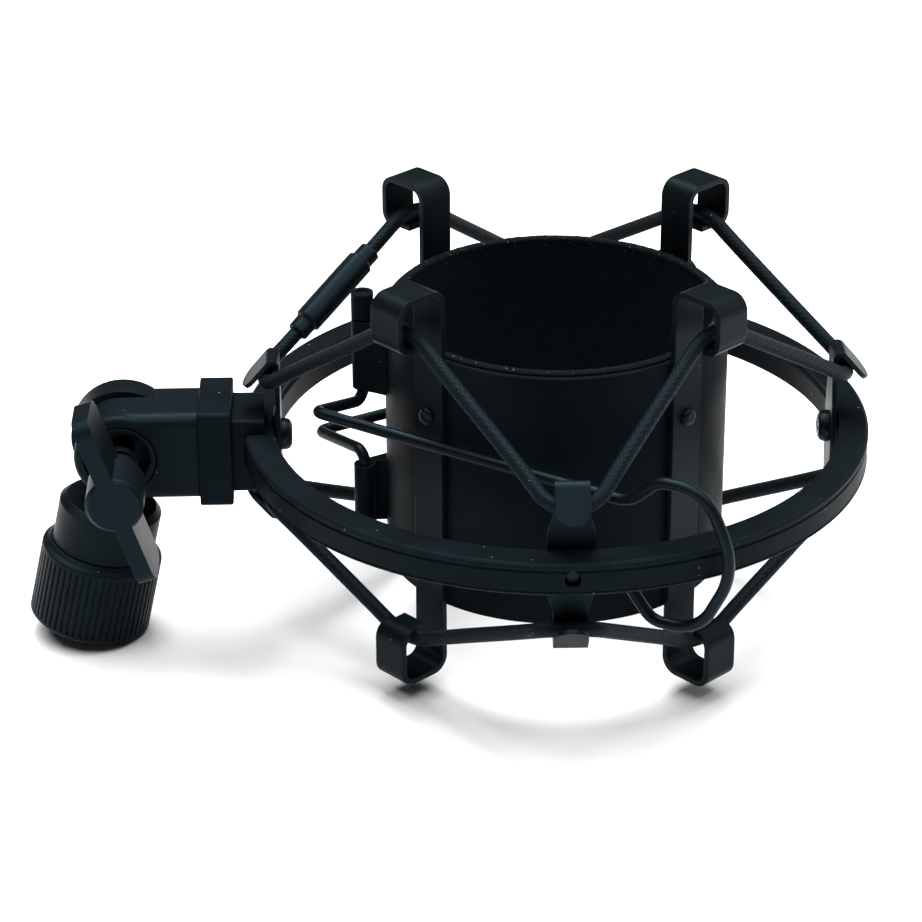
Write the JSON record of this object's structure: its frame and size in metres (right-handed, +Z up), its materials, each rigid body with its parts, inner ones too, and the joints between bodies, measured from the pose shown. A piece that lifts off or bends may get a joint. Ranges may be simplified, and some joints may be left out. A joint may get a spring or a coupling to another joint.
{
  "type": "microphone shock mount",
  "caption": "Spider shock mount for a studio microphone: a felt-lined cradle hung on elastic cords in an outer ring, with a swivel arm, wing lever and threaded stand nut.",
  "frame": {"origin": "centre of the outer ring, on the cradle's axis", "axes": "+Z up along the cradle's axis, the way the microphone lifts out; the swivel and stand nut are on the -X side"},
  "size_m": [0.1604, 0.118, 0.0819],
  "materials": {
    "ring_metal": "satin blue-black paint",
    "sheet_metal": "smooth satin blue-black paint on bent sheet",
    "lever_metal": "satin black paint",
    "screw_steel": "blackened steel",
    "wire_steel": "black coated spring wire",
    "felt": "black felt",
    "woven_cord": "black braided elastic cord",
    "sleeve_plastic": "black moulded plastic",
    "knob_plastic": "black moulded plastic"
  },
  "bodies": {
    "ring": {"outer_ring": "ring_metal", "tab_right": "sheet_metal", "tab_back": "sheet_metal", "tab_left": "sheet_metal", "tab_front": "sheet_metal", "tab_screw_right": "screw_steel", "tab_screw_back": "screw_steel", "tab_screw_left": "screw_steel", "tab_screw_front": "screw_steel", "ring_boss": "ring_metal", "arm_flange": "ring_metal", "swivel_arm": "ring_metal", "swivel_cup": "screw_steel"},
    "stand": {"stand_body": "ring_metal", "pivot_stud": "screw_steel"},
    "lever": {"lock_lever": "lever_metal"},
    "nut": {"thumb_nut": "lever_metal"},
    "cradle": {"shell_front": "sheet_metal", "liner_front": "felt", "strap_front_left": "sheet_metal", "strap_front_right": "sheet_metal", "rivets_front": "screw_steel", "knuckles_front": "sheet_metal", "clamp_wire_front": "wire_steel", "elastic_top": "woven_cord", "elastic_bottom": "woven_cord", "cord_sleeve": "sleeve_plastic"},
    "jaw": {"shell_back": "sheet_metal", "liner_back": "felt", "strap_back_left": "sheet_metal", "strap_back_right": "sheet_metal", "rivets_back": "screw_steel", "knuckles_back": "sheet_metal", "clamp_wire_back": "wire_steel", "knob_boss": "screw_steel"},
    "knob": {"cradle_knob": "knob_plastic"}
  },
  "joints": [
    {"name": "stand_tilt", "type": "hinge", "parent": "ring", "child": "stand", "pos_m": [-0.082, 0, -0.0015], "axis": [0, 1, 0], "range_deg": [-10, 80]},
    {"name": "lever_turn", "type": "hinge", "parent": "stand", "child": "lever", "pos_m": [-0.082, 0, -0.0015], "axis": [0, 1, 0], "range_deg": [-60, 60]},
    {"name": "nut_spin", "type": "hinge", "parent": "stand", "child": "nut", "pos_m": [-0.082, 0, -0.0015], "axis": [-0.2164, 0, -0.9763], "continuous": true},
    {"name": "cradle_bounce", "type": "slide", "parent": "ring", "child": "cradle", "axis": [0, 0, 1], "range_m": [-0.004, 0.004], "stiffness_N_per_m": 1500, "springref_m": 0.001, "deforming": ["elastic_top", "cord_sleeve", "elastic_bottom"]},
    {"name": "jaw_open", "type": "hinge", "parent": "cradle", "child": "jaw", "pos_m": [-0.0362, 0, 0], "axis": [0, 0, 1], "range_deg": [0, 5], "stiffness_Nm_per_rad": 1, "springref_deg": -5.73},
    {"name": "knob_turn", "type": "hinge", "parent": "jaw", "child": "knob", "pos_m": [0, 0, 0.0154], "axis": [0.5825, 0.8129, 0], "continuous": true}
  ]
}
